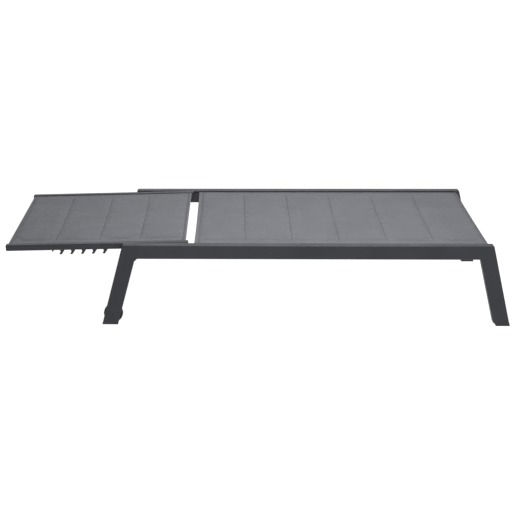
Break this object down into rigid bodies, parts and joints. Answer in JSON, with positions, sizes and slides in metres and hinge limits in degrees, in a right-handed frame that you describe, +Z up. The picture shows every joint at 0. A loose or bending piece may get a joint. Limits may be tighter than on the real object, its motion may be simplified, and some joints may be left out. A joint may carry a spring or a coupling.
{
  "type": "reclining sun lounger",
  "caption": "Low metal sun lounger with splayed legs, quilted sling seat, reclining sling back on toothed ratchet arms, and small wheels set into the head legs.",
  "frame": {"origin": "on the floor under the middle of the lounger with its back flat", "axes": "+X from the head end to the foot end, +Y to the user's left, +Z up"},
  "size_m": [1.9486, 0.65, 0.3377],
  "materials": {
    "frame": "fine-textured powder coat, anthracite",
    "coated_steel": "powder-coated or blackened steel",
    "sling_fabric": "quilted woven outdoor fabric, mid grey",
    "dark_plastic": "moulded, fine grain",
    "hub_plastic": "moulded",
    "tyre": "solid rubber",
    "rubber": "matt rubber",
    "nylon": "black nylon",
    "steel": "stainless steel"
  },
  "bodies": {
    "base": {"side_rail_left": "frame", "side_rail_right": "frame", "head_leg_left": "frame", "head_leg_right": "frame", "foot_leg_left": "frame", "foot_leg_right": "frame", "head_glide_left": "dark_plastic", "head_glide_right": "dark_plastic", "foot_glide_left": "dark_plastic", "foot_glide_right": "dark_plastic", "seat_keder_left": "nylon", "seat_keder_right": "nylon", "head_crossbar": "frame", "hinge_crossbar": "frame", "middle_crossbar": "frame", "foot_crossbar": "frame", "crossbar_screws": "steel", "seat_sling": "sling_fabric", "back_rest_sleeves": "rubber", "hinge_bolts": "coated_steel", "hinge_washers": "nylon", "hinge_rivet_nuts": "steel", "wheel_axles": "coated_steel", "wheel_spacers": "nylon"},
    "back": {"back_tube_left": "frame", "back_tube_right": "frame", "back_keder_left": "nylon", "back_keder_right": "nylon", "back_head_cap_left": "dark_plastic", "back_head_cap_right": "dark_plastic", "back_foot_cap_left": "dark_plastic", "back_foot_cap_right": "dark_plastic", "hinge_plate_left": "coated_steel", "hinge_plate_right": "coated_steel", "back_head_crossbar": "frame", "back_middle_crossbar": "frame", "back_lower_crossbar": "frame", "back_sling": "sling_fabric", "arm_bolts": "coated_steel", "arm_washers": "nylon"},
    "ratchet": {"ratchet_arm_left": "coated_steel", "ratchet_arm_right": "coated_steel", "release_bar": "coated_steel"},
    "wheel_left": {"wheel_hub_left": "hub_plastic", "wheel_tyre_left": "tyre"},
    "wheel_right": {"wheel_hub_right": "hub_plastic", "wheel_tyre_right": "tyre"}
  },
  "joints": [
    {"name": "back_recline", "type": "hinge", "parent": "base", "child": "back", "pos_m": [-0.286, 0, 0.3055], "axis": [0, 1, 0], "range_deg": [0, 78]},
    {"name": "ratchet_swing", "type": "hinge", "parent": "back", "child": "ratchet", "pos_m": [-0.49029, 0, 0.31501], "axis": [0, 1, 0], "range_deg": [-117, 0]},
    {"name": "wheel_left_spin", "type": "hinge", "parent": "base", "child": "wheel_left", "pos_m": [-0.5665, 0.31, 0.044], "axis": [0, 1, 0], "continuous": true},
    {"name": "wheel_right_spin", "type": "hinge", "parent": "base", "child": "wheel_right", "pos_m": [-0.5665, -0.31, 0.044], "axis": [0, 1, 0], "continuous": true}
  ],
  "couplings": [
    {"joint": "ratchet_swing", "follows": "back_recline", "ratio": -1.487}
  ]
}
